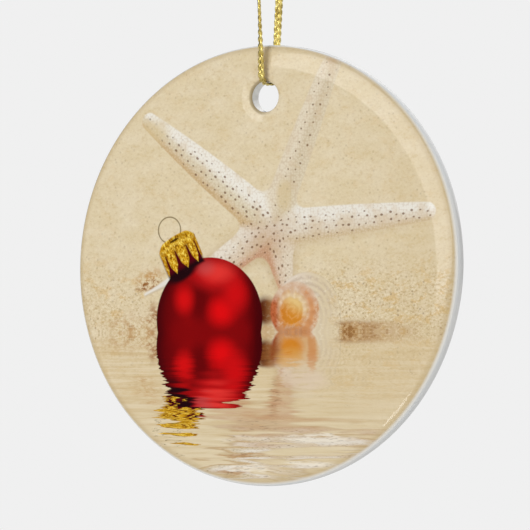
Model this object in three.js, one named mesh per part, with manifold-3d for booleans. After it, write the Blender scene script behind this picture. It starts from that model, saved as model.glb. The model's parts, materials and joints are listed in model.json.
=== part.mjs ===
// Hanging souvenir ornament: a glazed ceramic disc with a printed front coat, threaded on a flat
// plaited gold cord that is tied into a loop by an overhand knot. Millimetres, +Z up.
// The origin is the hanging point: the middle of the knot's underside, inside the loop.
// The disc's axis is parallel to Y, and its printed face looks along -Y.

import * as THREE from "three";
import { mergeVertices } from "three/addons/utils/BufferGeometryUtils.js";
import Module from "manifold-3d";

// Disc
const DISC_RADIUS = 36.5;
const DISC_THICKNESS = 3;
const EDGE_RADIUS = 1.15;
const SHOULDER_RADIUS = 32.4; // the front is flat inside this radius and rolls away outside it
const SHOULDER_SLOPE = THREE.MathUtils.degToRad(12); // its slope where the rounded edge begins
const DISC_SEGMENTS = 96;

// Cord hole
const HOLE_RADIUS = 2.5;
const LIP_RADIUS = 0.5;
const HOLE_TO_EDGE = 8.6; // from the hole's centre to the disc's top edge
const HOLE_SEGMENTS = 32;

// Print coat
const COAT_THICKNESS = 0.12;
const COAT_GAP = 0.02; // between the coat and the ceramic around it
const COAT_WRAP = THREE.MathUtils.degToRad(54); // how far the coat runs round the disc's edge

// Cord
const CORD_HALF_WIDTH = 0.64;
const CORD_HALF_THICKNESS = 0.38;
const CORD_SIDES = 8;
const HANGING_DEPTH = 46.5; // from the hanging point down to the hole's centre

// Knot, wider in X than in Y because the cord is doubled in it
const KNOT_BOTTOM = 0.8;
const KNOT_HEIGHT = 4.4;
const KNOT_HALF_WIDTH = 2.5;
const KNOT_HALF_DEPTH = 2;
const KNOT_SEGMENTS = 20;

// The loop's centre line on one face of the disc, as [distance from the disc's middle plane, z].
// The upper strands hang from the knot, and the bight runs on from them and through the hole.
const STRAND_ROUTE = [
  [0.5, 0.5],
  [0.62, -1],
  [1.05, -3],
  [1.9, -6.5],
  [2.7, -10.5],
  [3.3, -15],
  [3.6, -20.35],
];
const BIGHT_ROUTE = [
  [3.61, -20.65],
  [3.58, -25],
  [3.32, -30],
  [2.98, -34],
  [2.68, -38],
  [2.48, -41],
  [2.42, -42.9],
  [2.19, -43.72],
  [1.57, -44.3],
  [0.72, -44.5],
  [0, -44.52],
];

// The two free ends above the knot, as [x, y, z].
const LEFT_TAIL = [
  [-0.75, 0.1, 5.5],
  [-0.95, 0, 7],
  [-1.45, -0.25, 9],
  [-2.3, -0.55, 11],
  [-3.4, -0.8, 12.8],
];
const RIGHT_TAIL = [
  [0.75, -0.1, 5.5],
  [0.9, 0, 7],
  [1.2, 0.3, 8.8],
  [1.75, 0.75, 10.6],
  [2.6, 1.2, 12.2],
];

const STRAND_STEPS = 8;
const BIGHT_STEPS = 50;
const TAIL_STEPS = 5;

const DISC_Z = HOLE_TO_EDGE - HANGING_DEPTH - DISC_RADIUS;
const FRONT_Y = -DISC_THICKNESS / 2;
const BACK_Y = DISC_THICKNESS / 2;

// The rounded edge is an arc at the front and another at the back, with a short straight between.
const ARC_R = DISC_RADIUS - EDGE_RADIUS;
const BACK_ARC_Y = BACK_Y - EDGE_RADIUS;
const SHOULDER_WIDTH = ARC_R + EDGE_RADIUS * Math.sin(SHOULDER_SLOPE) - SHOULDER_RADIUS;
const SHOULDER_DROP = (Math.tan(SHOULDER_SLOPE) * SHOULDER_WIDTH) / 2;
const FRONT_ARC_Y = FRONT_Y + SHOULDER_DROP + EDGE_RADIUS * Math.cos(SHOULDER_SLOPE);

const wasm = await Module();
wasm.setup();

function toSolid(geometry) {
  const bare = geometry.clone();
  bare.deleteAttribute("normal");
  bare.deleteAttribute("uv");
  const merged = mergeVertices(bare, 1e-4);
  const vertProperties = merged.attributes.position.array;
  const triVerts = new Uint32Array(merged.index.array);
  return new wasm.Manifold(new wasm.Mesh({ numProp: 3, vertProperties, triVerts }));
}

function toGeometry(solid) {
  const mesh = solid.getMesh();
  const geometry = new THREE.BufferGeometry();
  geometry.setAttribute("position", new THREE.BufferAttribute(mesh.vertProperties, 3));
  geometry.setIndex(new THREE.BufferAttribute(mesh.triVerts, 1));
  geometry.computeVertexNormals();
  return geometry;
}

// Points along an arc of a lathe profile. Angles start from the front, -Y, and grow outwards.
function profileArc(centreR, centreY, radius, from, to, steps) {
  return Array.from({ length: steps + 1 }, (_, i) => {
    const angle = THREE.MathUtils.lerp(from, to, i / steps);
    const r = centreR + radius * Math.sin(angle);
    return new THREE.Vector2(r, centreY - radius * Math.cos(angle));
  });
}

// The disc's front surface, set back by an inset, from the axis to an angle on the rounded edge.
function frontProfile(inset, lastAngle) {
  const shoulder = [0, 0.35, 0.6, 0.8].map((share) => {
    const r = SHOULDER_RADIUS + share * SHOULDER_WIDTH;
    return new THREE.Vector2(r, FRONT_Y + inset + SHOULDER_DROP * share * share);
  });
  const edge = profileArc(ARC_R, FRONT_ARC_Y, EDGE_RADIUS - inset, SHOULDER_SLOPE, lastAngle, 3);
  return [new THREE.Vector2(0, FRONT_Y + inset), ...shoulder, ...edge];
}

// The cutter for the cord hole, flared at both ends so that the hole's lips come out round.
function holeCutter() {
  const mouthRadius = HOLE_RADIUS + LIP_RADIUS;
  const lip = [0, 30, 60, 90].map((degrees) => {
    const angle = THREE.MathUtils.degToRad(degrees);
    const r = mouthRadius - LIP_RADIUS * Math.cos(angle);
    return new THREE.Vector2(r, BACK_Y - LIP_RADIUS + LIP_RADIUS * Math.sin(angle));
  });
  const half = [...lip, new THREE.Vector2(mouthRadius, 2 * BACK_Y), new THREE.Vector2(0, 2 * BACK_Y)];
  const otherHalf = half.map((point) => new THREE.Vector2(point.x, -point.y)).reverse();
  const cutter = new THREE.LatheGeometry([...otherHalf, ...half], HOLE_SEGMENTS);
  return toSolid(cutter.translate(0, 0, DISC_RADIUS - HOLE_TO_EDGE));
}

const cutter = holeCutter();

function discFrom(profile) {
  const solid = toSolid(new THREE.LatheGeometry(profile, DISC_SEGMENTS));
  return toGeometry(solid.subtract(cutter));
}

// The ceramic body. Its front is let in for the coat, which lies flush with the edge.
function ceramicDisc() {
  const coatEnd = COAT_WRAP + COAT_GAP;
  return discFrom([
    ...frontProfile(COAT_THICKNESS + COAT_GAP, coatEnd),
    ...profileArc(ARC_R, FRONT_ARC_Y, EDGE_RADIUS, coatEnd, Math.PI / 2, 2),
    ...profileArc(ARC_R, BACK_ARC_Y, EDGE_RADIUS, Math.PI / 2, Math.PI, 5),
    new THREE.Vector2(0, BACK_Y),
  ]);
}

// The printed coat, a thin shell over the front and part of the way round the edge.
function printCoat() {
  const outside = frontProfile(0, COAT_WRAP);
  const inside = frontProfile(COAT_THICKNESS, COAT_WRAP).reverse();
  return discFrom([...outside, ...inside]);
}

// A flat cord along a route. On a route in the YZ plane its width lies along X.
function cordAlong(route, steps) {
  const section = new THREE.Shape(
    Array.from({ length: CORD_SIDES }, (_, i) => {
      const angle = ((i + 0.5) / CORD_SIDES) * 2 * Math.PI;
      const across = CORD_HALF_WIDTH * Math.cos(angle);
      return new THREE.Vector2(across, CORD_HALF_THICKNESS * Math.sin(angle));
    }),
  );
  const extrudePath = new THREE.CatmullRomCurve3(route.map((point) => new THREE.Vector3(...point)));
  return new THREE.ExtrudeGeometry(section, { steps, extrudePath, bevelEnabled: false });
}

function onFace(side, route) {
  return route.map(([y, z]) => [0, side * y, z]);
}

function cordBight() {
  const front = onFace(-1, BIGHT_ROUTE);
  const back = onFace(1, BIGHT_ROUTE.slice(0, -1)).reverse();
  return cordAlong([...front, ...back], BIGHT_STEPS);
}

// The knot's outer shape, a barrel with rounded shoulders.
function cordKnot() {
  const profile = [
    [0, 0],
    [0.62, 0],
    [0.88, 0.14],
    [1, 0.36],
    [1, 0.64],
    [0.88, 0.86],
    [0.62, 1],
    [0, 1],
  ];
  const points = profile.map(([r, height]) => new THREE.Vector2(r, height));
  const barrel = new THREE.LatheGeometry(points, KNOT_SEGMENTS).rotateX(Math.PI / 2);
  return barrel.scale(KNOT_HALF_WIDTH, KNOT_HALF_DEPTH, KNOT_HEIGHT).translate(0, 0, KNOT_BOTTOM);
}

const glazedWhite = new THREE.MeshStandardMaterial({ color: 0xf2f3f2, roughness: 0.12 });
const printedCoat = new THREE.MeshStandardMaterial({ color: 0xdccba4, roughness: 0.08 });
const goldCord = new THREE.MeshStandardMaterial({
  color: 0xc9a227,
  roughness: 0.3,
  metalness: 0.9,
});

const ornament = new THREE.Group();

function addPiece(parent, name, geometry, material) {
  const mesh = new THREE.Mesh(geometry, material);
  mesh.name = name;
  parent.add(mesh);
}

const disc = new THREE.Group();
disc.position.z = DISC_Z;
ornament.add(disc);
addPiece(disc, "ceramic_disc", ceramicDisc(), glazedWhite);
addPiece(disc, "print_coat", printCoat(), printedCoat);

const cord = new THREE.Group();
ornament.add(cord);
addPiece(cord, "cord_strand_front", cordAlong(onFace(-1, STRAND_ROUTE), STRAND_STEPS), goldCord);
addPiece(cord, "cord_strand_back", cordAlong(onFace(1, STRAND_ROUTE), STRAND_STEPS), goldCord);
addPiece(cord, "cord_bight", cordBight(), goldCord);
addPiece(cord, "cord_knot", cordKnot(), goldCord);
addPiece(cord, "cord_tail_left", cordAlong(LEFT_TAIL, TAIL_STEPS), goldCord);
addPiece(cord, "cord_tail_right", cordAlong(RIGHT_TAIL, TAIL_STEPS), goldCord);

export default ornament;
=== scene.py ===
"""Hanging ceramic disc ornament on a plaited gold cord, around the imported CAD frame.

Metres, +Z up, origin at the hanging point. The disc's printed face looks along -Y.
"""
import json
import math

import bpy
import numpy as np
from mathutils import Matrix, Vector


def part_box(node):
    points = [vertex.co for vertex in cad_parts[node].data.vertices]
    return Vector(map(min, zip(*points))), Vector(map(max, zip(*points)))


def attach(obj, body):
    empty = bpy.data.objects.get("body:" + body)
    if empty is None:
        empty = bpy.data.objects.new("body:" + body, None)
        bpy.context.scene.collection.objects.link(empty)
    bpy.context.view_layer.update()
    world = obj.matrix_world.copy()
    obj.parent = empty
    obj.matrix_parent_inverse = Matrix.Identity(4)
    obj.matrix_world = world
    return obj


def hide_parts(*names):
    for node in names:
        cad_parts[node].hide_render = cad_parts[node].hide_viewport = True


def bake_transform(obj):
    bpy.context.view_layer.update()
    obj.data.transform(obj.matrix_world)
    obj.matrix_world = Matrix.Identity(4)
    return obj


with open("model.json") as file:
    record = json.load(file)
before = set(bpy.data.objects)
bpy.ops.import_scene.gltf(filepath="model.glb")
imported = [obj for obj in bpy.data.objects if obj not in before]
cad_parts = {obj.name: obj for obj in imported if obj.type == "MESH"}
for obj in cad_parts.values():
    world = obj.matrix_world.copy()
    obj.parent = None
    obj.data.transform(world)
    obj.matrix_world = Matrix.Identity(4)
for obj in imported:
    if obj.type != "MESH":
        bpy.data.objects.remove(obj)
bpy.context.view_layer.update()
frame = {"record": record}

MM = 0.001
bpy.context.scene.view_settings.view_transform = "Standard"

# ---------------------------------------------------------------- sizes from the frame

DISC_LOW, DISC_HIGH = (np.array(corner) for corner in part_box("ceramic_disc"))
DISC_RADIUS = (DISC_HIGH[0] - DISC_LOW[0]) / 2
DISC_Z = (DISC_HIGH[2] + DISC_LOW[2]) / 2
FRONT_Y = float(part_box("print_coat")[0][1])
BACK_Y = DISC_HIGH[1]
JOINTS = frame["record"]["behaviour"]["joints"]
HOLE_Z = next(joint["pos_m"][2] for joint in JOINTS if joint["name"] == "disc_swing")

# The disc's section: as in CAD, but for a slightly rounder lip at the cord hole
EDGE_RADIUS = 1.15 * MM
SHOULDER_RADIUS = 32.4 * MM
SHOULDER_SLOPE = math.radians(12)
HOLE_RADIUS = 2.5 * MM
LIP_RADIUS = 0.65 * MM
COAT_THICKNESS = 0.12 * MM
COAT_GAP = 0.02 * MM
COAT_WRAP = math.radians(54)

# ---------------------------------------------------------------- camera

CAMERA_AZIMUTH = math.radians(30.49)
CAMERA_ELEVATION = math.radians(-2.03)
CAMERA_ROLL = math.radians(-0.4)
CAMERA_DISTANCE = 0.826
CAMERA_LENS_MM = 338.9
AIM_LEFT = 0.37 * MM
AIM_UP = 0.06 * MM


def make_camera():
    a, e = CAMERA_AZIMUTH, CAMERA_ELEVATION
    back = Vector((math.sin(a) * math.cos(e), -math.cos(a) * math.cos(e), math.sin(e)))
    level = Vector((math.cos(a), math.sin(a), 0))
    upright = back.cross(level)
    right = level * math.cos(CAMERA_ROLL) - upright * math.sin(CAMERA_ROLL)
    up = level * math.sin(CAMERA_ROLL) + upright * math.cos(CAMERA_ROLL)
    aim = Vector((0, 0, DISC_Z)) - right * AIM_LEFT + up * AIM_UP
    camera = bpy.data.objects.new("camera", bpy.data.cameras.new("camera"))
    camera.data.lens = CAMERA_LENS_MM
    camera.data.clip_start, camera.data.clip_end = 0.01, 20
    turn = Matrix((right, up, back)).transposed().to_4x4()
    camera.matrix_world = Matrix.Translation(aim + back * CAMERA_DISTANCE) @ turn
    bpy.context.scene.collection.objects.link(camera)
    bpy.context.scene.camera = camera


make_camera()

# ---------------------------------------------------------------- mesh helpers


def mesh_object(name, points, faces, material, smooth_angle=math.radians(35)):
    mesh = bpy.data.meshes.new(name)
    mesh.from_pydata([tuple(map(float, p)) for p in points], [], faces)
    mesh.validate()
    mesh.shade_smooth()
    mesh.set_sharp_from_angle(angle=smooth_angle)
    mesh.materials.append(material)
    piece = bpy.data.objects.new(name, mesh)
    bpy.context.scene.collection.objects.link(piece)
    return piece


def ring_faces(rings, sides, start=0, closed=False, capped=False):
    """Quads between rings of points that follow each other, each with the same number of sides."""
    faces = []
    last = rings if closed else rings - 1
    for i in range(last):
        here, there = start + i * sides, start + ((i + 1) % rings) * sides
        for j in range(sides):
            k = (j + 1) % sides
            faces.append((here + j, here + k, there + k, there + j))
    if capped:
        faces.append(tuple(start + j for j in reversed(range(sides))))
        faces.append(tuple(start + (rings - 1) * sides + j for j in range(sides)))
    return faces


def unit(vectors):
    return vectors / np.linalg.norm(vectors, axis=-1, keepdims=True)


def run_along(line):
    return np.concatenate([[0], np.cumsum(np.linalg.norm(np.diff(line, axis=0), axis=1))])


def resampled(line, spacing, *others):
    """The line at an even spacing, other values along it at the same places, and those places."""
    run = run_along(line)
    at = np.linspace(0, run[-1], max(2, round(run[-1] / spacing) + 1))
    rows = [np.stack([np.interp(at, run, v[:, k]) for k in range(3)], 1) for v in (line, *others)]
    return (*rows, at)


def smooth_line(points, spacing):
    """A Catmull-Rom curve through the points, as points at an even spacing."""
    p = np.array(points, float)
    p = np.vstack([2 * p[0] - p[1], p, 2 * p[-1] - p[-2]])
    t = np.linspace(0, 1, 40, endpoint=False)[:, None]
    parts = []
    for a, b, c, d in zip(p, p[1:], p[2:], p[3:]):
        square = (2 * a - 5 * b + 4 * c - d) * t**2 / 2
        cube = (3 * b - a - 3 * c + d) * t**3 / 2
        parts.append(b + (c - a) * t / 2 + square + cube)
    return resampled(np.vstack([*parts, p[-2:-1]]), spacing)[0]


def tangents(line):
    return unit(np.gradient(line, axis=0))


def carried(line, first):
    """A direction across the line, carried along it without twisting."""
    t = tangents(line)
    out = [unit(first - t[0] * (first @ t[0]))]
    for i in range(1, len(line)):
        d = out[-1] - t[i] * (out[-1] @ t[i])
        out.append(unit(d))
    return np.array(out)


def turned(vectors, axes, angles):
    """The vectors turned about axes that are square to them."""
    c, s = np.cos(angles)[:, None], np.sin(angles)[:, None]
    return vectors * c + np.cross(axes, vectors) * s


# ---------------------------------------------------------------- shader helpers


class Num:
    """A number in a node tree; arithmetic on it adds math nodes."""

    def __init__(self, tree, socket):
        self.tree = tree
        self.socket = socket

    def math(self, operation, *others, clamp=False):
        node = self.tree.nodes.new("ShaderNodeMath")
        node.operation = operation
        node.use_clamp = clamp
        for slot, value in zip(node.inputs, (self, *others)):
            feed(self.tree, slot, value)
        return Num(self.tree, node.outputs[0])

    def __add__(self, other):
        return self.math("ADD", other)

    def __sub__(self, other):
        return self.math("SUBTRACT", other)

    def __mul__(self, other):
        return self.math("MULTIPLY", other)

    def __truediv__(self, other):
        return self.math("DIVIDE", other)

    def __neg__(self):
        return self.math("MULTIPLY", -1.0)

    def __rsub__(self, other):
        return self.math("MULTIPLY", -1.0).math("ADD", other)

    __radd__ = __add__
    __rmul__ = __mul__

    def abs(self):
        return self.math("ABSOLUTE")

    def sqrt(self):
        return self.math("SQRT")

    def sin(self):
        return self.math("SINE")

    def least(self, other):
        return self.math("MINIMUM", other)

    def most(self, other):
        return self.math("MAXIMUM", other)

    def clamped(self):
        return self.math("ADD", 0.0, clamp=True)

    def ramp(self, start, end):
        """0 before start and 1 past end, smoothly. start may be the larger."""
        node = self.tree.nodes.new("ShaderNodeMapRange")
        node.interpolation_type = "SMOOTHSTEP"
        for slot, value in zip(node.inputs, (self, start, end, 0.0, 1.0)):
            feed(self.tree, slot, value)
        return Num(self.tree, node.outputs[0])


def feed(tree, slot, value):
    if isinstance(value, Num):
        tree.links.new(value.socket, slot)
    elif hasattr(value, "links"):
        tree.links.new(value, slot)
    else:
        slot.default_value = value


def colour(r, g, b):
    """An 8-bit sRGB colour as linear RGBA."""
    shares = (r / 255, g / 255, b / 255)
    linear = [c / 12.92 if c <= 0.04045 else ((c + 0.055) / 1.055) ** 2.4 for c in shares]
    return (*linear, 1.0)


def mixed(tree, share, below, above, blend="MIX"):
    """Two colours mixed: below at share 0, above at share 1."""
    node = tree.nodes.new("ShaderNodeMix")
    node.data_type = "RGBA"
    node.blend_type = blend
    feed(tree, node.inputs["Factor"], share)
    feed(tree, node.inputs[6], below)
    feed(tree, node.inputs[7], above)
    return node.outputs[2]


def vector(tree, x, y, z=0.0):
    node = tree.nodes.new("ShaderNodeCombineXYZ")
    for slot, value in zip(node.inputs, (x, y, z)):
        feed(tree, slot, value)
    return node.outputs[0]


def noise(tree, where, scale, detail=2.0, roughness=0.5):
    node = tree.nodes.new("ShaderNodeTexNoise")
    node.inputs["Scale"].default_value = scale
    node.inputs["Detail"].default_value = detail
    node.inputs["Roughness"].default_value = roughness
    feed(tree, node.inputs["Vector"], where)
    return Num(tree, node.outputs["Fac"])


def cells(tree, where, scale, randomness=1.0):
    """The distance to the nearest of scattered points."""
    node = tree.nodes.new("ShaderNodeTexVoronoi")
    node.voronoi_dimensions = "2D"
    node.inputs["Scale"].default_value = scale
    node.inputs["Randomness"].default_value = randomness
    feed(tree, node.inputs["Vector"], where)
    return Num(tree, node.outputs["Distance"])


def new_material(name):
    material = bpy.data.materials.new(name)
    material.use_nodes = True
    return material, material.node_tree, material.node_tree.nodes["Principled BSDF"]


def bumped(tree, shader, height, distance, strength=1.0):
    node = tree.nodes.new("ShaderNodeBump")
    node.inputs["Distance"].default_value = distance
    node.inputs["Strength"].default_value = strength
    feed(tree, node.inputs["Height"], height)
    tree.links.new(node.outputs[0], shader.inputs["Normal"])


def object_place(tree):
    """The place on the object in millimetres, as (vector, x, y, z)."""
    place = tree.nodes.new("ShaderNodeTexCoord").outputs["Object"]
    scaled = tree.nodes.new("ShaderNodeVectorMath")
    scaled.operation = "SCALE"
    scaled.inputs["Scale"].default_value = 1 / MM
    tree.links.new(place, scaled.inputs[0])
    split = tree.nodes.new("ShaderNodeSeparateXYZ")
    tree.links.new(scaled.outputs[0], split.inputs[0])
    return (scaled.outputs[0], *(Num(tree, s) for s in split.outputs))


# ---------------------------------------------------------------- cord

CORD_THICKNESS = 0.6 * MM
PLAIT_PITCH = 3.45 * MM
PLAIT_SWING = 0.37 * MM
PLAIT_RISE = 0.12 * MM
YARN_HALF_WIDTH = 0.29 * MM
YARN_HALF_THICKNESS = 0.17 * MM
YARN_SIDES = 14
CORD_STEP = 0.115 * MM
FRAY_LENGTH = 2.6 * MM
FRAY_SPREAD = 0.55 * MM
# The cord's base colours: dark olive, partly painted shade, and pale gold, partly a painted sheen.
CORD_DARK_AND_SHADE = (140, 108, 22)
CORD_PALE_AND_SHEEN = (255, 236, 148)
CORD_NODES = (
    "cord_strand_front",
    "cord_strand_back",
    "cord_bight",
    "cord_knot",
    "cord_tail_left",
    "cord_tail_right",
)

# In the hole the cord is pressed up against the wall, and flatter, over these heights.
PRESSED_UP = 0.14 * MM
PRESS_FROM, PRESS_TO = -43.2 * MM, -44.2 * MM
FLATTENED = 0.3
FLATTEN_FROM, FLATTEN_TO = -43.4 * MM, -44.2 * MM

# The loop's centre line on one face of the disc, as [distance from the disc's middle plane, z] in
# millimetres, down from the knot and through the hole.
STRAND_ROUTE = [
    [0.5, 0.5],
    [0.62, -1],
    [1.05, -3],
    [1.9, -6.5],
    [2.7, -10.5],
    [3.3, -15],
    [3.6, -20.35],
]
BIGHT_ROUTE = [
    [3.61, -20.65],
    [3.58, -25],
    [3.32, -30],
    [2.98, -34],
    [2.68, -38],
    [2.48, -41],
    [2.42, -42.9],
    [2.19, -43.72],
    [1.57, -44.3],
    [0.72, -44.5],
    [0, -44.52],
]

# The free ends above the knot, as [x, y, z] in millimetres.
LEFT_TAIL = [
    [-0.75, 0.1, 5.5],
    [-0.95, 0, 7],
    [-1.45, -0.25, 9],
    [-2.3, -0.55, 11],
    [-3.4, -0.8, 12.8],
]
RIGHT_TAIL = [
    [0.75, -0.1, 5.5],
    [0.9, 0, 7],
    [1.2, 0.3, 8.8],
    [1.75, 0.75, 10.6],
    [2.6, 1.2, 12.2],
]

# The overhand knot that both strands are tied in together: up the left of the middle, over the
# top and once round the outside, then in at the bottom and up the right of the middle.
KNOT_ROUTE = [
    [0, 0, 0.4],
    [-0.3, 0.1, 1.2],
    [-0.66, 0.1, 2.2],
    [-0.72, 0.05, 3.3],
    [-1.15, 0.1, 4.25],
    [-1.85, 0, 4.3],
    [-1.75, -0.75, 4.0],
    [-0.9, -1.3, 3.75],
    [0.3, -1.38, 3.45],
    [1.4, -1.0, 3.2],
    [1.9, 0, 2.95],
    [1.4, 1.0, 2.75],
    [0.3, 1.38, 2.55],
    [-0.9, 1.3, 2.35],
    [-1.75, 0.75, 2.15],
    [-1.95, -0.1, 1.95],
    [-1.35, -0.95, 1.7],
    [-0.3, -1.15, 1.5],
    [0.5, -0.6, 1.65],
    [0.72, -0.1, 2.5],
    [0.6, 0, 3.4],
    [0.2, 0, 4.1],
    [0, 0, 4.7],
]
KNOT_TURN_FROM = 0.7
FRONT_TWIST = math.radians(-59)
BACK_TWIST = math.radians(30)
TWIST_REACH = 16 * MM


def tied_pair():
    """The two strands' centre lines and width directions through the knot, front and back."""
    line = smooth_line(np.array(KNOT_ROUTE) * MM, 0.3 * MM)
    along = tangents(line)
    width = carried(line, np.array([1.0, 0, 0]))
    side_by_side = np.array([0, 1.0, 0])
    rest = math.atan2(np.cross(width[-1], side_by_side) @ along[-1], width[-1] @ side_by_side)
    share = np.clip((np.linspace(0, 1, len(line)) - KNOT_TURN_FROM) / (1 - KNOT_TURN_FROM), 0, 1)
    width = turned(width, along, share * share * (3 - 2 * share) * rest)
    stacked = np.cross(along, width) * CORD_THICKNESS * 0.53
    return line - stacked, line + stacked, width


def strand_width(z, twist):
    """The width direction of a hanging strand: square on at the hole and the knot."""
    rise = (z - HOLE_Z) / TWIST_REACH
    fall = (z + 0.5 * MM) / (HOLE_Z + TWIST_REACH)
    share = np.clip(np.where(rise < 1, rise, fall), 0, 1)
    angle = twist * share * share * (3 - 2 * share)
    return np.stack([np.cos(angle), np.sin(angle), 0 * angle], 1)


def cord_run():
    """The cord's centre line from the left tail's end to the right tail's, and its width."""
    front, back, width = tied_pair()
    if front[-1][0] > back[-1][0]:  # the back strand runs into the left tail
        to_left, to_right, side = back, front, 1
        twists = (BACK_TWIST, FRONT_TWIST)
    else:
        to_left, to_right, side = front, back, -1
        twists = (FRONT_TWIST, BACK_TWIST)
    route = STRAND_ROUTE[1:] + BIGHT_ROUTE
    down = [[0, side * y, z] for y, z in route]
    up = [[0, -side * y, z] for y, z in reversed(route[:-1])]
    loop = smooth_line(np.vstack([to_left[:1] / MM, down, up, to_right[:1] / MM]) * MM, 0.3 * MM)
    left = smooth_line(np.vstack([to_left[-1:] / MM, LEFT_TAIL]) * MM, 0.3 * MM)
    right = smooth_line(np.vstack([to_right[-1:] / MM, RIGHT_TAIL]) * MM, 0.3 * MM)
    low = np.argmin(loop[:, 2])
    loop_width = np.vstack([
        strand_width(loop[:low, 2], twists[0]),
        strand_width(loop[low:, 2], twists[1]),
    ])
    line = np.vstack([left[::-1], to_left[::-1][1:], loop[1:], to_right[1:], right[1:]])
    widths = np.vstack([
        carried(left, width[-1])[::-1],
        width[::-1][1:],
        loop_width[1:],
        width[1:],
        carried(right, width[-1])[1:],
    ])
    return line, widths


def smoothed(values, passes):
    out = values.copy()
    for _ in range(passes):
        out[1:-1] = (out[:-2] + 2 * out[1:-1] + out[2:]) / 4
    return out


def cord_mesh(line, widths, run):
    """Three yarns plaited flat along the line, frayed at both cut ends."""
    along = tangents(line)
    across = unit(widths - along * (widths * along).sum(1, keepdims=True))
    normal = np.cross(along, across)
    total = run[-1]
    to_end = np.minimum(run, total - run)
    fray = np.clip(1 - to_end / FRAY_LENGTH, 0, 1)[:, None] ** 1.5
    points, faces, yarn_place = [], [], []
    turn = np.linspace(0, 2 * math.pi, YARN_SIDES, endpoint=False)
    for k in range(3):
        phase = 2 * math.pi * (run / PLAIT_PITCH + k / 3)[:, None]
        spread = math.radians(120 * k + 50)
        centre = line + across * PLAIT_SWING * np.sin(phase) + normal * PLAIT_RISE * np.sin(2 * phase)
        centre = centre + fray * FRAY_SPREAD * (across * math.cos(spread) + normal * math.sin(spread))
        yarn_along = tangents(centre)
        wide = unit(np.cross(normal, yarn_along))
        high = np.cross(yarn_along, wide)
        size = 1 - 0.35 * fray
        flat = np.clip((centre[:, 2:] - FLATTEN_FROM) / (FLATTEN_TO - FLATTEN_FROM), 0, 1)
        thin = 1 - FLATTENED * flat
        for i in range(len(line)):
            wave = np.cos(turn)[:, None] * wide[i] * YARN_HALF_WIDTH
            rise = np.sin(turn)[:, None] * high[i] * YARN_HALF_THICKNESS * thin[i]
            points.extend(centre[i] + (wave + rise) * size[i])
        yarn_place.extend((s / MM, math.cos(a), math.sin(a)) for s in run for a in turn)
        faces += ring_faces(len(line), YARN_SIDES, start=k * len(line) * YARN_SIDES, capped=True)
    return points, faces, yarn_place


def gold_cord_material():
    """Metallic yarn: filaments that differ in tone at random, the bright ones partly a painted sheen and
    the dark olive between them partly painted shade.
    """
    material, tree, shader = new_material("gold_cord")
    attribute = tree.nodes.new("ShaderNodeAttribute")
    attribute.attribute_name = "yarn_place"
    split = tree.nodes.new("ShaderNodeSeparateXYZ")
    tree.links.new(attribute.outputs["Vector"], split.inputs[0])
    along, ca, sa = (Num(tree, s) for s in split.outputs)
    filaments = noise(tree, vector(tree, along * 0.9, ca * 3.2, sa * 3.2), 1.6, detail=2)
    place, *_ = object_place(tree)
    patches = noise(tree, place, 0.9, detail=2)
    # Random filament tone, set so the pale patches stand in for highlights: partly a painted sheen and
    # partly painted shade.
    tone_and_sheen = (filaments * 0.65 + patches * 0.35).ramp(0.34, 0.6)
    gold = mixed(tree, tone_and_sheen, colour(*CORD_DARK_AND_SHADE), colour(*CORD_PALE_AND_SHEEN))
    feed(tree, shader.inputs["Base Color"], gold)
    shader.inputs["Metallic"].default_value = 1.0
    rough = filaments.ramp(0.25, 0.75) * 0.14 + 0.2
    feed(tree, shader.inputs["Roughness"], rough)
    bumped(tree, shader, filaments, 0.035 * MM, 0.8)
    return material


def gold_cord():
    line, widths = cord_run()
    line = smoothed(line, 6)
    pressed = np.clip((line[:, 2] - PRESS_FROM) / (PRESS_TO - PRESS_FROM), 0, 1)
    line[:, 2] += PRESSED_UP * pressed * pressed * (3 - 2 * pressed)
    line, widths, run = resampled(line, CORD_STEP, smoothed(widths, 6))
    points, faces, yarn_place = cord_mesh(line, widths, run)
    cord = mesh_object("gold_cord", points, faces, gold_cord_material(), math.radians(60))
    attribute = cord.data.attributes.new("yarn_place", "FLOAT_VECTOR", "POINT")
    attribute.data.foreach_set("vector", np.array(yarn_place, np.float32).ravel())
    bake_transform(cord)
    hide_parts(*CORD_NODES)


gold_cord()

# ---------------------------------------------------------------- disc

ROUND_SIDES = 288
FLAT_RINGS = 36
SHOULDER_RINGS = 14
EDGE_RINGS = 8
LIP_RINGS = 8
DISH_RINGS = 10

# The glaze dips a little round the cord hole.
DISH_WIDTH = 1.45 * MM
DISH_SLOPE = math.radians(12)
COAT_LIP_END = math.radians(70)
GAP_TURN = COAT_GAP / EDGE_RADIUS

WHITE_COOL = (236, 238, 238)
WHITE_WARM = (240, 240, 238)
GLAZE_SPECK = (214, 208, 196)

HOLE_UP = HOLE_Z - DISC_Z
MOUTH_RADIUS = HOLE_RADIUS + LIP_RADIUS
ARC_R = DISC_RADIUS - EDGE_RADIUS
BACK_ARC_Y = BACK_Y - EDGE_RADIUS
SHOULDER_WIDTH = ARC_R + EDGE_RADIUS * math.sin(SHOULDER_SLOPE) - SHOULDER_RADIUS
SHOULDER_DROP = math.tan(SHOULDER_SLOPE) * SHOULDER_WIDTH / 2
FRONT_ARC_Y = FRONT_Y + SHOULDER_DROP + EDGE_RADIUS * math.cos(SHOULDER_SLOPE)
LIP_EDGE = MOUTH_RADIUS - LIP_RADIUS * math.sin(DISH_SLOPE)
DISH_DROP = math.tan(DISH_SLOPE) * DISH_WIDTH / 2
LIP_Y = FRONT_Y + DISH_DROP + LIP_RADIUS * math.cos(DISH_SLOPE)

turns = np.linspace(0, 2 * math.pi, ROUND_SIDES, endpoint=False)
ROUND = np.stack([np.cos(turns), 0 * turns, np.sin(turns)], 1)
DISC_MIDDLE = np.array([0, 0, DISC_Z])
HOLE_MIDDLE = np.array([0, 0, HOLE_Z])


def ring(middle, radius, y):
    return middle + ROUND * radius + np.array([0, y, 0])


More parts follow.
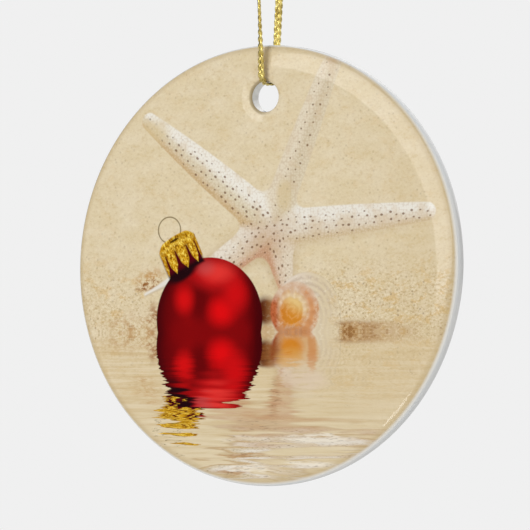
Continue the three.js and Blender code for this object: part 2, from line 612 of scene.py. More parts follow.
def arc_rings(middle, radius, y, size, start, end, count, inward=False):
    """Rings along a rounded edge. Angles are from the front, -Y, towards the outside."""
    sign = -1 if inward else 1
    angles = np.linspace(start, end, count)
    return [ring(middle, radius + sign * size * math.sin(a), y - size * math.cos(a)) for a in angles]


def front_rings(inset, lip_end, edge_end):
    """The front face, set back by an inset, from inside the hole to the disc's rounded edge."""
    rings = arc_rings(HOLE_MIDDLE, MOUTH_RADIUS, LIP_Y, LIP_RADIUS - inset, lip_end, DISH_SLOPE,
                      LIP_RINGS, inward=True)
    for share in np.linspace(1, 0, DISH_RINGS + 1)[1:]:
        radius = LIP_EDGE + DISH_WIDTH * (1 - share)
        rings.append(ring(HOLE_MIDDLE, radius, FRONT_Y + inset + DISH_DROP * share**2))
    inner = rings[-1]
    outer = ring(DISC_MIDDLE, SHOULDER_RADIUS, FRONT_Y + inset)
    rings += [inner + (outer - inner) * share for share in np.linspace(0, 1, FLAT_RINGS + 1)[1:]]
    for share in np.linspace(0, 1, SHOULDER_RINGS + 1)[1:-1]:
        radius = SHOULDER_RADIUS + SHOULDER_WIDTH * share
        rings.append(ring(DISC_MIDDLE, radius, FRONT_Y + inset + SHOULDER_DROP * share**2))
    rings += arc_rings(DISC_MIDDLE, ARC_R, FRONT_ARC_Y, EDGE_RADIUS - inset, SHOULDER_SLOPE, edge_end,
                       EDGE_RINGS)
    return rings


def torus_object(name, rings, material):
    faces = ring_faces(len(rings), ROUND_SIDES, closed=True)
    return mesh_object(name, np.vstack(rings), faces, material)


def white_glaze_material():
    """Thick white glaze, very slightly blue, with a faint unevenness where it pooled."""
    material, tree, shader = new_material("glazed_ceramic")
    place, *_ = object_place(tree)
    pooled = noise(tree, place, 0.09, detail=2)
    specks = noise(tree, place, 1.4, detail=2)
    white = mixed(tree, pooled.ramp(0.35, 0.65), colour(*WHITE_COOL), colour(*WHITE_WARM))
    white = mixed(tree, specks.ramp(0.72, 0.8) * 0.25, white, colour(*GLAZE_SPECK))
    feed(tree, shader.inputs["Base Color"], white)
    feed(tree, shader.inputs["Roughness"], specks * 0.06 + 0.06)
    shader.inputs["IOR"].default_value = 1.5
    bumped(tree, shader, pooled + specks * 0.06, 0.05 * MM, 0.6)
    return material


def glazed_disc():
    """The ceramic body: white all over, let in at the front for the printed glaze."""
    inset = COAT_THICKNESS + COAT_GAP
    coat_end = COAT_WRAP + GAP_TURN
    quarter = math.pi / 2
    rings = front_rings(inset, COAT_LIP_END + 2 * GAP_TURN, coat_end)
    rings += arc_rings(DISC_MIDDLE, ARC_R, FRONT_ARC_Y, EDGE_RADIUS, coat_end, quarter, EDGE_RINGS)
    rings += arc_rings(DISC_MIDDLE, ARC_R, BACK_ARC_Y, EDGE_RADIUS, quarter, math.pi, 2 * EDGE_RINGS)
    outer = rings[-1]
    inner = ring(HOLE_MIDDLE, MOUTH_RADIUS, BACK_Y)
    rings += [outer + (inner - outer) * share for share in np.linspace(0, 1, FLAT_RINGS + 1)[1:-1]]
    rings += arc_rings(HOLE_MIDDLE, MOUTH_RADIUS, BACK_Y - LIP_RADIUS, LIP_RADIUS, math.pi, quarter,
                       LIP_RINGS, inward=True)
    rings += arc_rings(HOLE_MIDDLE, MOUTH_RADIUS, LIP_Y, LIP_RADIUS, quarter,
                       COAT_LIP_END + 2 * GAP_TURN, LIP_RINGS // 2, inward=True)
    disc = torus_object("glazed_disc", rings, white_glaze_material())
    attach(disc, "disc")
    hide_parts("ceramic_disc")


glazed_disc()

# ---------------------------------------------------------------- the printed picture

# A beach still life: a white starfish and a red bauble on sand, a small shell beside them, and
# all of it mirrored in rippled water. Millimetres from the disc's middle, x right and z up.
WATER_Z = -11.1
RIPPLE_LENGTH = 1.65
RIPPLE_START = 0.6
PRINT_TONE = 0.95

# Starfish arms: [from, to, half-widths there, colours of the lit side, middle and shaded side]
STARFISH_ARMS = [
    [(0.2, 7.6), (-22.4, 24.3), (3.1, 1.5), (241, 236, 225), (222, 209, 181), (206, 176, 131)],
    [(1.9, 7.6), (13.5, 34.9), (2.7, 1.6), (228, 215, 191), (216, 201, 173), (221, 207, 179)],
    [(1.5, 6.1), (31.0, 8.4), (2.8, 1.5), (238, 233, 222), (227, 215, 196), (212, 190, 154)],
    [(1.2, 6.2), (-11.5, -2.2), (2.8, 2.3), (234, 224, 208), (221, 202, 178), (200, 152, 120)],
    [(2.3, 6.0), (4.4, -4.2), (2.7, 1.2), (226, 211, 188), (221, 200, 176), (202, 152, 118)],
]
# Rows of pores: how close they are along and across an arm, and a shift across
MANY_ROWS = (0.68, 0.9, 0.0)
TWO_ROWS = (0.6, 0.55, 0.75)
PORE_ROWS = [MANY_ROWS, TWO_ROWS, MANY_ROWS, MANY_ROWS, MANY_ROWS]
# The far end of the arm that runs behind the bauble
ARM_TIP = [(-22.9, -4.7), (-17.5, -2.3), (0.3, 0.95)]
# How far the arms' outlines and shades blend where they meet
STARFISH_JOIN = 2.8
SHADE_JOIN = 1.4


def drop(value, edge, soft):
    """1 where the value is well under the edge, 0 where it is over it."""
    return value.ramp(edge + soft, edge - soft)


def from_point(x, z, at, stretch=(1, 1)):
    dx = (x - at[0]) * (1 / stretch[0])
    dz = (z - at[1]) * (1 / stretch[1])
    return (dx * dx + dz * dz).sqrt()


def mirrored_place(tree, x, z):
    """The place in the picture that shows at (x, z): itself, or its rippled image in the water."""
    depth = (WATER_Z - z).most(0.0)
    near = depth.least(13.0)
    growth = near * near
    sideways = noise(tree, vector(tree, x * 0.05, z * 2.6), 1.0, detail=3, roughness=0.65) - 0.5
    px = x + sideways * (growth * 0.055 + depth.least(1.0) * 0.3)
    bend = noise(tree, vector(tree, x * 0.07, z * 0.25, 7.0), 1.0, detail=2) * 9.0
    wave = (z * (2 * math.pi / RIPPLE_LENGTH) + bend + RIPPLE_START).sin()
    swell = depth * depth * 0.0075
    mirror = (z - WATER_Z).abs() + WATER_Z
    stretch = depth.ramp(7.0, 9.8) * depth.ramp(14.5, 12.0) * 0.9
    pz = (mirror + wave * swell - stretch).most(WATER_Z)
    return px, pz, depth


def sand(tree, x, z):
    """Fine sand, coarser and more speckled close to the water."""
    place = vector(tree, x, z)
    drift = noise(tree, vector(tree, x * 0.16, z * 0.3), 1.0, detail=2)
    tint = mixed(tree, drift.ramp(0.35, 0.7), colour(225, 208, 172), colour(230, 215, 184))
    mottle = noise(tree, vector(tree, x, z * 1.4, 2.0), 0.8, detail=4, roughness=0.72)
    tint = mixed(tree, mottle.ramp(0.5, 0.3) * 0.5, tint, colour(212, 189, 143))
    tint = mixed(tree, mottle.ramp(0.54, 0.74) * 0.45, tint, colour(240, 228, 202))
    near = z.ramp(3.0, -6.0) * x.ramp(3.0, 15.0).most(x.ramp(-19.0, -25.0) * 0.7)
    golden = noise(tree, vector(tree, x * 0.7, z, 12.0), 0.55, detail=3, roughness=0.65)
    tint = mixed(tree, golden.ramp(0.52, 0.66) * (near * 0.6 + 0.12), tint, colour(218, 182, 118))
    rough = noise(tree, vector(tree, x, z * 1.25, 3.0), 2.1, detail=2, roughness=0.8)
    tint = mixed(tree, rough.ramp(0.48, 0.32) * (near * 0.55 + 0.16), tint, colour(178, 144, 98))
    tint = mixed(tree, rough.ramp(0.53, 0.68) * (near * 0.6 + 0.16), tint, colour(247, 236, 212))
    warmer = x.ramp(12.0, 32.0) * 0.16 + z.ramp(6.0, -8.0) * 0.13
    tint = mixed(tree, warmer, tint, colour(206, 180, 132))
    scattered = cells(tree, place, 0.62)
    speck = drop(scattered, 0.08, 0.1) * noise(tree, place, 0.23).ramp(0.46, 0.58)
    return mixed(tree, speck * (near * 0.45 + 0.3), tint, colour(140, 104, 66))


def wet_edge(tree, x, z, depth, tint):
    """Darker wet sand along the water's edge, in patches."""
    broken = noise(tree, vector(tree, x * 0.55, z * 0.75, 5.0), 1.5, detail=4, roughness=0.72)
    fading = x.ramp(37.0, 15.0)
    ragged = z + (broken - 0.5) * 3.0
    right = (x + broken * 5.0).ramp(15.8, 18.4) * ragged.ramp(-8.7, -10.0) * fading
    cover = (broken + fading * 0.22).ramp(0.46, 0.7)
    tint = mixed(tree, right * cover * 0.85, tint, colour(184, 142, 90))
    cover = (broken + fading * 0.12).ramp(0.58, 0.7)
    tint = mixed(tree, right * cover * x.ramp(25.0, 17.0) * 0.85, tint, colour(146, 100, 54))
    left = x.ramp(-20.0, -21.5) * x.ramp(-36.0, -24.0) * z.ramp(-6.4, -10.0)
    tint = mixed(tree, left * broken.ramp(0.44, 0.62) * 0.8, tint, colour(190, 146, 92))
    beside_ball = from_point(x, z, (-21.2, -8.6), (1.8, 3.6)).ramp(1.0, 0.2)
    tint = mixed(tree, beside_ball * broken.ramp(0.35, 0.62), tint, colour(168, 118, 74))
    lean = z - x * 0.3
    above = depth.ramp(2.0, 0.0)
    behind_arm = from_point(x, lean, (-22.4, 4.5), (3.9, 2.3)).ramp(1.0, 0.3)
    cover = broken.ramp(0.42, 0.58) * (above * 0.35 + 0.5)
    tint = mixed(tree, behind_arm * cover, tint, colour(196, 148, 88))
    core = from_point(x, lean, (-22.3, 3.6), (3.3, 1.1)).ramp(1.0, 0.4)
    tint = mixed(tree, core * broken.ramp(0.44, 0.6) * above, tint, colour(146, 94, 50))
    hollow = from_point(x, z, (0.5, -7.6), (3.0, 3.1)).ramp(1.0, 0.45)
    brown = mixed(tree, x.ramp(-0.2, 1.6) * (broken * 0.6 + 0.5), colour(92, 40, 16), colour(152, 102, 58))
    tint = mixed(tree, hollow * (broken.ramp(0.2, 0.5) * 0.25 + 0.75), tint, brown)
    pocket = from_point(x, z, (1.0, -11.1), (1.9, 1.5)).ramp(1.0, 0.7)
    return mixed(tree, pocket * broken.ramp(0.3, 0.6) * 0.7, tint, colour(192, 154, 106))


def arm(x, z, start, end, half_widths):
    """The distance outside a tapered round-ended arm, and the place on it, along and across."""
    reach = Vector(end) - Vector(start)
    length = reach.length
    ux, uz = reach / length
    dx, dz = x - start[0], z - start[1]
    along = dx * ux + dz * uz
    up_side = 1 if ux > 0 else -1
    side = (dz * ux - dx * uz) * up_side
    share = (along * (1 / length)).clamped()
    half = share * share * (half_widths[1] - half_widths[0]) + half_widths[0]
    beyond = along - share * length
    distance = (beyond * beyond + side * side).sqrt() - half
    return distance, along, side, side / half


def joined_arms(tree, x, z):
    """The distance outside the five arms, their shade, and the distance to the nearest pore."""
    body, shade, pores = None, None, None
    for index, (start, end, half_widths, lit, middle, shaded) in enumerate(STARFISH_ARMS):
        distance, along, side, across = arm(x, z, start, end, half_widths)
        own = mixed(tree, across.ramp(-0.95, -0.25), colour(*shaded), colour(*middle))
        own = mixed(tree, across.ramp(-0.25, 0.45), own, colour(*lit))
        close_along, close_across, shift = PORE_ROWS[index]
        grid = vector(tree, along * close_along, side * close_across + shift)
        spots = cells(tree, grid, 1.0, randomness=0.5) * (0.68 / close_across + 0.1)
        spots = spots + across.ramp(0.35, 0.75) * 0.14
        if body is None:
            body, shade, pores = distance, own, spots
            continue
        nearer = (body - distance).ramp(-SHADE_JOIN, SHADE_JOIN)
        shade = mixed(tree, nearer, shade, own)
        pores = pores + (spots - pores) * (body - distance).ramp(-0.05, 0.05)
        gap = (body - distance).abs()
        join = (STARFISH_JOIN - gap).most(0.0)
        body = body.least(distance) - join * join * (0.25 / STARFISH_JOIN)
    return body, shade, pores


def starfish(tree, x, z, seen, depth, tint):
    """Five round arms, pale above and sandy below, with rows of dark pores and fine grains."""
    body, shade, pores = joined_arms(tree, x, z)
    place = vector(tree, x, z, 9.0)
    grains = cells(tree, place, 2.3, randomness=0.8)
    shade = mixed(tree, drop(grains, 0.22, 0.15) * 0.22, shade, colour(247, 241, 226))
    shade = mixed(tree, grains.ramp(0.4, 0.7) * 0.26, shade, colour(190, 160, 120))
    blotch = noise(tree, place, 0.35, detail=3)
    shade = mixed(tree, blotch.ramp(0.48, 0.66) * 0.4, shade, colour(214, 190, 154))
    warm = from_point(x, z, (0.6, 4.6), (6.4, 5.0)).ramp(1.0, 0.2)
    shade = mixed(tree, warm * 0.36, shade, colour(198, 162, 130))
    sandy = from_point(x, z, (3.9, 11.5), (2.0, 3.6)).ramp(1.0, 0.4)
    sandy = sandy.most(from_point(x, z, (-21.6, 22.6), (4.4, 3.0)).ramp(1.0, 0.3))
    shade = mixed(tree, sandy * 0.6, shade, colour(218, 197, 152))
    dirty_tip = from_point(x, z, (12.7, 33.7), (1.5, 1.1)).ramp(1.0, 0.2)
    shade = mixed(tree, dirty_tip * 0.45, shade, colour(196, 160, 128))
    inside = body.ramp(-0.35, -0.7)
    size = noise(tree, place, 0.8).ramp(0.3, 0.65) * 0.09
    pore = drop(pores - size, 0.072, 0.055) * inside * (1.0 - sandy * 0.8)
    shade = mixed(tree, pore * 0.78, shade, colour(114, 78, 46))
    far = depth.ramp(13.0, 16.0)
    cast = drop(body - 0.7, 0.0, 0.8) * z.ramp(9.0, 0.0).most(far)
    tint = mixed(tree, cast * (far * 0.5 + 0.3) * seen, tint, colour(174, 138, 94))
    tip, _, _, across = arm(x, z, *ARM_TIP)
    pale = mixed(tree, across.ramp(-0.9, 0.2), colour(206, 188, 160), colour(232, 226, 216))
    tint = mixed(tree, drop(tip, 0.0, 0.2) * depth.ramp(1.0, 0.0), tint, pale)
    brown_water = depth.ramp(6.0, 9.0) * depth.ramp(18.5, 14.5)
    shade = mixed(tree, brown_water * 0.8, shade, colour(200, 158, 118))
    soft = depth.ramp(3.0, 12.0) * 0.5 + 0.16
    return mixed(tree, body.ramp(soft, -soft) * seen, tint, shade)


BAUBLE = (-10.4, -8.9)
BAUBLE_RADIUS = 10.3


def bauble(tree, x, z, tint):
    """A matt red glass ball with soft highlights."""
    out = from_point(x, z, BAUBLE)
    red = mixed(tree, x.ramp(-14.0, -20.5), colour(140, 11, 14), colour(92, 8, 12))
    red = mixed(tree, x.ramp(-5.5, -0.4), red, colour(72, 5, 9))
    dark_band = from_point(x, z, (-12.2, -6.0), (3.0, 5.4)).ramp(1.0, 0.2)
    red = mixed(tree, dark_band * 0.8, red, colour(96, 8, 11))
    under = z.ramp(-8.5, -10.8) * x.ramp(-19.5, -16.0) * x.ramp(-1.0, -4.0)
    red = mixed(tree, under * 0.75, red, colour(132, 10, 13))
    for at, size, strength, shine in (
        ((-15.3, -5.6), (2.8, 3.5), 1.0, (214, 18, 20)),
        ((-8.0, -7.6), (4.0, 3.7), 1.0, (226, 14, 18)),
        ((-5.4, -4.8), (3.8, 4.6), 0.95, (210, 16, 20)),
        ((-9.2, -1.2), (6.8, 4.0), 1.0, (216, 28, 30)),
        ((-8.8, -1.0), (4.6, 2.6), 0.55, (236, 70, 62)),
        ((-11.2, -0.3), (2.8, 2.0), 0.5, (190, 84, 84)),
    ):
        spot = from_point(x, z, at, size).ramp(1.0, 0.1)
        red = mixed(tree, spot * strength, red, colour(*shine))
    rim = out.ramp(BAUBLE_RADIUS - 1.9, BAUBLE_RADIUS)
    rim = rim * (z.ramp(1.5, -4.0) * 0.6 + 0.4)
    red = mixed(tree, rim * (x.ramp(-9.0, -18.0) * 0.3 + 0.55), red, colour(70, 8, 13))
    dusk = from_point(x, z - x * 0.42, (-15.7, 5.4), (3.8, 1.8)).ramp(1.0, 0.45)
    red = mixed(tree, dusk, red, colour(34, 11, 16))
    return mixed(tree, drop(out, BAUBLE_RADIUS, 0.1), tint, red)


CAP = (-16.3, 2.4)
CAP_LEAN = math.atan2(0.435, 0.9)
CAP_HALF_WIDTH = 3.72
PETAL_TURN = math.radians(38)
PETAL_FROM = math.radians(7)
WIRE_RING = (-18.3, 6.05)
WIRE_RING_RADIUS = 2.18


def bauble_cap(tree, x, z, tint):
    """The gold cap: an oval top, pointed petals bent down round a dark neck, and a wire ring."""
    cos_lean, sin_lean = math.cos(CAP_LEAN), math.sin(CAP_LEAN)
    dx, dz = x - CAP[0], z - CAP[1]
    across = dx * cos_lean + dz * sin_lean
    up = dz * cos_lean - dx * sin_lean
    wire = (from_point(x, z, WIRE_RING) - WIRE_RING_RADIUS).abs()
    tint = mixed(tree, drop(wire, 0.11, 0.07) * 0.8, tint, colour(118, 98, 58))
    neck = (across.abs() - CAP_HALF_WIDTH).most(up - 1.2).most(-3.6 - up)
    dark_red = mixed(tree, up.ramp(-2.2, -3.2), colour(84, 8, 20), colour(34, 11, 16))
    tint = mixed(tree, drop(neck, 0.0, 0.3), tint, dark_red)
    round_turn = (across * (1 / CAP_HALF_WIDTH)).least(1.0).most(-1.0).math("ARCSINE")
    petal = ((round_turn - PETAL_FROM) * (1 / PETAL_TURN) + 0.5).math("FRACT") - 0.5
    half = ((up + 3.1) * 0.26).least(up * 0.05 + 0.43)
    notch = (petal.abs() - half) * 2.2
    corner = (across.abs() - 2.3).most(0.0)
    top_arch = 2.9 - (across - 0.4) * (across - 0.4) * 0.035 - corner * corner * 0.42
    reach = across.ramp(0.0, 3.0) * 0.16 + CAP_HALF_WIDTH
    body = (across.abs() - reach).most(up - top_arch).most(notch.least(0.5 - up))
    crumpled = noise(tree, vector(tree, across * 1.6, up * 0.9, 4.0), 1.5, detail=3, roughness=0.7)
    gold = mixed(tree, crumpled.ramp(0.36, 0.5), colour(122, 76, 10), colour(216, 162, 32))
    gold = mixed(tree, crumpled.ramp(0.52, 0.62), gold, colour(250, 226, 104))
    fold = petal.abs().ramp(0.2, 0.42) * up.ramp(1.5, 0.6)
    gold = mixed(tree, fold * 0.55, gold, colour(140, 84, 12))
    rim = (up - 1.55 + across * across * 0.03).abs()
    gold = mixed(tree, drop(rim, 0.12, 0.3) * 0.35, gold, colour(250, 226, 116))
    hollow = from_point(across, up, (0.5, 2.25), (2.9, 0.52)).ramp(1.0, 0.6)
    gold = mixed(tree, hollow * 0.45, gold, colour(138, 92, 16))
    opening = from_point(across, up, (-0.15, 2.2), (0.95, 0.2)).ramp(1.1, 0.8)
    gold = mixed(tree, opening * 0.9, gold, colour(60, 34, 8))
    gold = mixed(tree, across.abs().ramp(2.6, 3.7) * 0.4, gold, colour(150, 92, 14))
    return mixed(tree, drop(body, 0.0, 0.12), tint, gold)


SPIRE = (5.5, -7.6)


def spire_shade(tree, x, z, depth, worn):
    """An orange coil in a paler banded turn, red-brown on the left, and its murky image."""
    dx, dz = x - SPIRE[0], z - SPIRE[1]
    reach = from_point(x, z, SPIRE)
    turn = dz.math("ARCTAN2", dx)
    coil = (reach * 6.2 + worn * 10.0 - turn).sin() * 0.5 + 0.5
    amber = mixed(tree, (dz + dx * 0.4).ramp(2.2, -1.0), colour(230, 196, 128), colour(216, 140, 46))
    amber = mixed(tree, dx.ramp(0.3, -2.2) * 0.5, amber, colour(200, 116, 44))
    amber = mixed(tree, coil.ramp(0.4, 1.0) * 0.13, amber, colour(246, 222, 166))
    amber = mixed(tree, coil.ramp(0.4, 0.0) * 0.11, amber, colour(188, 118, 48))
    band = mixed(tree, worn.ramp(0.3, 0.7), colour(206, 146, 100), colour(230, 206, 176))
    band = mixed(tree, dz.ramp(0.6, 2.8) * 0.6, band, colour(222, 202, 180))
    amber = mixed(tree, (reach + worn * 2.4).ramp(3.0, 5.1), amber, band)
    cream = (reach - 2.95 + worn * 0.8).abs().ramp(0.6, 0.1) * dz.ramp(-2.0, 0.6)
    amber = mixed(tree, cream * 0.5, amber, colour(236, 220, 190))
    orange = (reach - 4.2 + worn * 0.5).abs().ramp(0.95, 0.1) * dx.ramp(1.2, 2.6)
    amber = mixed(tree, orange * worn.ramp(0.24, 0.56) * 0.75, amber, colour(214, 140, 74))
    rays = (turn * 15.0 + worn * 6.0).sin() * 0.5 + 0.5
    amber = mixed(tree, rays * reach.ramp(1.6, 3.0) * 0.25, amber, colour(190, 128, 82))
    red_side = x.ramp(3.6, 2.2) * z.ramp(-4.4, -6.6)
    red_brown = mixed(tree, worn.ramp(0.35, 0.6), colour(150, 58, 22), colour(190, 92, 42))
    amber = mixed(tree, red_side * 0.9, amber, red_brown)
    below = z.ramp(-9.7, -10.9) * x.ramp(11.0, 7.0)
    amber = mixed(tree, below * worn.ramp(0.3, 0.55) * 0.7, amber, colour(178, 112, 62))
    glow = from_point(x, z, (5.4, -8.7), (3.2, 2.6)).ramp(1.1, 0.3)
    murk = mixed(tree, glow, colour(214, 176, 128), colour(212, 134, 44))
    murk = mixed(tree, (x - 9.4).abs().ramp(1.1, 0.4) * 0.8, murk, colour(206, 142, 84))
    murk = mixed(tree, x.ramp(4.4, 1.8), murk, colour(136, 58, 24))
    return mixed(tree, depth.ramp(0.2, 1.4) * 0.85, amber, murk)


def shell(tree, x, z, depth, tint):
    """A sea snail: a ribbed pale outer whorl round an orange spire, both blurred in the water."""
    outer = from_point(x, z, (8.3, -8.6), (6.6, 7.5))
    worn = noise(tree, vector(tree, x, z, 6.0), 1.3, detail=3, roughness=0.6)
    ribs = (outer * 44.0 + worn * 2.0).sin() * 0.5 + 0.5
    pale = mixed(tree, x.ramp(5.0, 12.0), colour(228, 214, 197), colour(222, 205, 172))
    ribs = ribs * worn.ramp(0.3, 0.6) * (z.ramp(-12.0, -4.0) * 0.5 + 0.15)
    pale = mixed(tree, ribs, pale, colour(190, 166, 142))
    pale = mixed(tree, worn.ramp(0.52, 0.68) * 0.35, pale, colour(242, 233, 216))
    away = x.ramp(11.0, 15.0).most(x.ramp(5.0, 3.0) * z.ramp(-4.5, -6.5))
    away = away.most(depth.ramp(2.0, 7.0))
    tint = mixed(tree, outer.ramp(1.0, 0.95) * (1.0 - away * 0.75), tint, pale)
    rim = (outer - 0.985).abs().ramp(0.02, 0.0) * x.ramp(10.0, 13.0)
    tint = mixed(tree, rim * 0.35, tint, colour(186, 166, 142))
    spire = from_point(x, z, (6.1, -7.6), (4.75, 4.9))
    blur = depth.ramp(0.5, 3.0) * 0.06 + 0.05
    cover = spire.ramp(blur + 0.98, 0.98 - blur) * (1.0 - depth.ramp(3.4, 6.2) * 0.9)
    return mixed(tree, cover, tint, spire_shade(tree, x, z, depth, worn))


def water(tree, x, z, depth, tint):
    """A warm cast and level streaks on the sand's image."""
    streaks = noise(tree, vector(tree, x * 0.06, z * 1.5, 8.0), 1.0, detail=4, roughness=0.6)
    under = depth.ramp(0.0, 2.5)
    calm = x.ramp(20.0, 0.0) * 0.45 + 0.55
    warm = mixed(tree, depth.ramp(6.0, 20.0), colour(218, 196, 154), colour(222, 205, 169))
    tint = mixed(tree, under * 0.6, tint, warm)
    tint = mixed(tree, streaks.ramp(0.5, 0.64) * under * calm * 0.5, tint, colour(233, 218, 190))
    return mixed(tree, streaks.ramp(0.5, 0.36) * under * calm * 0.36, tint, colour(200, 170, 120))


# Streaks of the starfish's image far out on the water: [middle, half-lengths, strength, colour]
FAR_STREAKS = [
    [(10.5, -28.7), (9.5, 0.85), 0.9, (240, 231, 214)],
    [(-4.5, -28.9), (6.5, 0.6), 0.6, (236, 224, 202)],
    [(-1.0, -26.4), (5.5, 1.3), 0.4, (196, 168, 134)],
    [(9.5, -32.8), (6.0, 0.7), 0.85, (242, 233, 216)],
    [(-2.0, -33.6), (4.6, 0.8), 0.8, (242, 233, 216)],
    [(-3.5, -31.5), (5.5, 0.45), 0.75, (188, 146, 98)],
    [(-6.5, -34.3), (4.2, 0.4), 0.75, (184, 142, 96)],
    [(2.4, -21.8), (1.3, 4.2), 0.55, (186, 140, 100)],
]
# The shell's image: dark sand at its left, its orange middle and right side, and a pale haze under it
NEAR_STREAKS = [
    [(1.4, -15.0), (3.2, 2.5), 0.5, (150, 92, 48)],
    [(5.2, -15.4), (3.4, 2.4), 0.6, (218, 162, 84)],
    [(9.5, -15.4), (1.2, 2.8), 0.5, (208, 144, 90)],
    [(8.2, -18.9), (5.4, 2.2), 0.5, (228, 208, 188)],
]


def streaks_on_water(tree, x, z, tint, streaks, pores):
    """Torn level streaks, with dashes of pores in them. The last value is how dark those are."""
    bend = noise(tree, vector(tree, x * 0.3, z * 0.12, 31.0), 1.0, detail=3, roughness=0.6) - 0.5
    level = z + bend * 2.2
    torn = noise(tree, vector(tree, x * 0.25, z * 1.6, 33.0), 1.0, detail=3, roughness=0.6)
    dashes = drop(cells(tree, vector(tree, x * 0.75, z * 1.5), 1.0, randomness=0.8), 0.16, 0.12)
    for at, size, strength, shine in streaks:
        streak = from_point(x, level, at, size).ramp(1.0, 0.45) * torn.ramp(0.36, 0.5)
        tint = mixed(tree, streak * strength, tint, colour(*shine))
        tint = mixed(tree, streak * dashes * pores, tint, colour(122, 96, 68))
    return tint


# The picture is printed a little larger than drawn and off the middle, and the ink stops short.
PICTURE_SCALE = 1.0038
PICTURE_SHIFT = 0.117
PRINT_MIDDLE = (-0.25, 0.15)


def print_edge_and_painted_shade(tree, x, z, tint):
    """A darker tan band where the picture turns over the rounded edge, painted shade of the edge curving
    away; painted shade on the hole's lip, most on the left; then bare white.
    """
    out = from_point(x, z, PRINT_MIDDLE)
    # Painted shade: a darker tan band along the rounded edge, where it curves away from the light.
    tint = mixed(tree, out.ramp(34.9, 35.8) * 0.4, tint, colour(192, 168, 124))
    # Painted shade in the hole's lip: a darker ring all round, strongest on the left side.
    painted_lip_shade = from_point(x, z, (0, HOLE_UP / MM)).ramp(3.2, 2.8)
    shade_on_the_left = x.ramp(1.5, -1.5) * 0.6 + 0.1
    tint = mixed(tree, painted_lip_shade * shade_on_the_left, tint, colour(158, 140, 106))
    return mixed(tree, out.ramp(35.9, 36.5), tint, colour(246, 245, 240))


def seen_in_water(tree, x, z, depth):
    """How much of the starfish's image the ripples leave: all of it above the water."""
    broken = noise(tree, vector(tree, x * 0.045, z * 0.75, 11.0), 1.0, detail=3, roughness=0.6)
    gaps = noise(tree, vector(tree, x * 0.09, z * 0.85, 21.0), 1.0, detail=3, roughness=0.6)
    middle = depth.ramp(5.5, 8.0) * depth.ramp(18.0, 16.0)
    seen = 1.0 - depth.ramp(13.0, 17.0) * broken.ramp(0.5, 0.42)
    seen = seen * (1.0 - middle * (gaps.ramp(0.44, 0.58) * 0.45 + 0.1))
    return seen * (1.0 - depth.ramp(14.0, 17.0) * 0.15)


def printed_material():
    """The picture, printed under a clear gloss."""
    material, tree, shader = new_material("print_coat")
    place, x, _, height = object_place(tree)
    x = x * PICTURE_SCALE - PICTURE_SHIFT
    z = height - DISC_Z / MM
    px, pz, depth = mirrored_place(tree, x, z)
    tint = sand(tree, px, pz)
    tint = water(tree, x, z, depth, tint)
    tint = wet_edge(tree, px, pz, depth, tint)
    tint = starfish(tree, px, pz, seen_in_water(tree, x, z, depth), depth, tint)
    tint = streaks_on_water(tree, px, z, tint, FAR_STREAKS, 0.65)
    tint = shell(tree, px, pz, depth, tint)
    tint = streaks_on_water(tree, px, z, tint, NEAR_STREAKS, 0.0)
    tint = bauble(tree, px, pz, tint)
    tint = bauble_cap(tree, px, pz, tint)
    tint = print_edge_and_painted_shade(tree, x, z, tint)
    toned = mixed(tree, 1.0, tint, (PRINT_TONE, PRINT_TONE, PRINT_TONE, 1.0), blend="MULTIPLY")
    feed(tree, shader.inputs["Base Color"], toned)
    shader.inputs["Roughness"].default_value = 0.05
    shader.inputs["IOR"].default_value = 1.28
    peel = noise(tree, place, 0.35, detail=1)
    bumped(tree, shader, peel, 0.004 * MM)
    return material


def printed_glaze():
    """The printed layer: over the front, into the hole's lip and part of the way round the edge."""
    outside = front_rings(0, COAT_LIP_END, COAT_WRAP)
    inside = front_rings(COAT_THICKNESS, COAT_LIP_END, COAT_WRAP)
    coat = torus_object("printed_glaze", outside + inside[::-1], printed_material())
    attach(coat, "disc")
    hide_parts("print_coat")


printed_glaze()

# ---------------------------------------------------------------- floor and light

FLOOR_Z = -0.25
FLOOR_RADIUS = 6.0
BACKGROUND = 0.871
AMBIENT = 0.4
AMBIENT_RIGHT = 0.12


def floor():
    turn = np.linspace(0, 2 * math.pi, 96, endpoint=False)
    rim = np.stack([FLOOR_RADIUS * np.cos(turn), FLOOR_RADIUS * np.sin(turn), 0 * turn + FLOOR_Z], 1)
    material, tree, shader = new_material("floor")
    place, *_ = object_place(tree)
    mottle = noise(tree, place, 0.02, detail=3)
    pale = mixed(tree, mottle, colour(232, 231, 229), colour(238, 237, 235))
    feed(tree, shader.inputs["Base Color"], pale)
    shader.inputs["Roughness"].default_value = 0.8
    mesh_object("floor", rim, [tuple(range(len(rim)))], material)


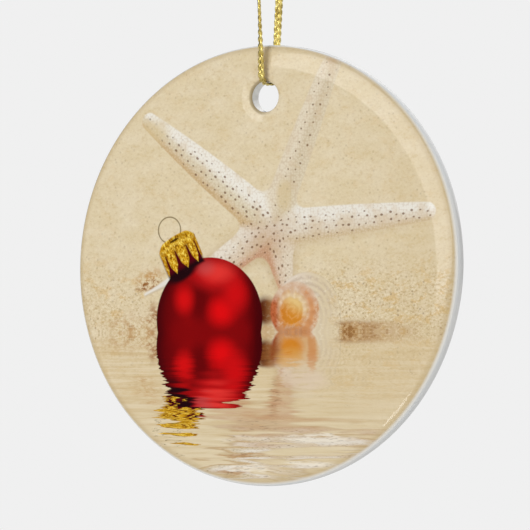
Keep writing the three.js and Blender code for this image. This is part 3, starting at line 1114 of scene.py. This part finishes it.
def softbox(name, azimuth, elevation, distance, size, power, roll=0):
    """An oval light that faces the disc. Azimuth 0 is in front of the printed face."""
    a, e = math.radians(azimuth), math.radians(elevation)
    towards = Vector((math.sin(a) * math.cos(e), -math.cos(a) * math.cos(e), math.sin(e)))
    light = bpy.data.lights.new(name, "AREA")
    light.shape = "ELLIPSE"
    light.size, light.size_y = size
    light.energy = power
    box = bpy.data.objects.new(name, light)
    box.matrix_world = (Matrix.Translation(Vector((0, 0, DISC_Z)) + towards * distance)
                        @ towards.to_track_quat("Z", "Y").to_matrix().to_4x4()
                        @ Matrix.Rotation(math.radians(roll), 4, "Z"))
    box.visible_camera = False
    bpy.context.scene.collection.objects.link(box)


def surroundings():
    """A pale backdrop, and a dimmer room that is darkest level with the disc."""
    world = bpy.data.worlds.new("studio")
    world.use_nodes = True
    bpy.context.scene.world = world
    tree = world.node_tree
    backdrop = tree.nodes["Background"]
    path = tree.nodes.new("ShaderNodeLightPath")
    split = tree.nodes.new("ShaderNodeSeparateXYZ")
    tree.links.new(tree.nodes.new("ShaderNodeTexCoord").outputs["Generated"], split.inputs[0])
    rise = Num(tree, split.outputs[2])
    right = Num(tree, split.outputs[0])
    mirrored = rise.ramp(0.15, 0.7) * 0.9 + right.ramp(0.2, 0.9) * 0.5 + 0.02
    lit = right.ramp(-0.2, 1.0) * AMBIENT_RIGHT + AMBIENT
    glossy = Num(tree, path.outputs["Is Glossy Ray"])
    camera = Num(tree, path.outputs["Is Camera Ray"])
    room = lit + (mirrored - lit) * glossy
    feed(tree, backdrop.inputs["Color"], (1, 1, 1, 1))
    feed(tree, backdrop.inputs["Strength"], room + (BACKGROUND - room) * camera)


floor()
surroundings()
softbox("key", -15, 15, 1.9, (1.12, 1.12), 17.0)
softbox("fill", 45, 10, 1.9, (0.6, 1.0), 2.0)
softbox("back", 180, 30, 1.9, (2.0, 2.0), 10.0)
softbox("glint", -12.7, -14.3, 0.6, (0.06, 0.026), 0.042, roll=45)
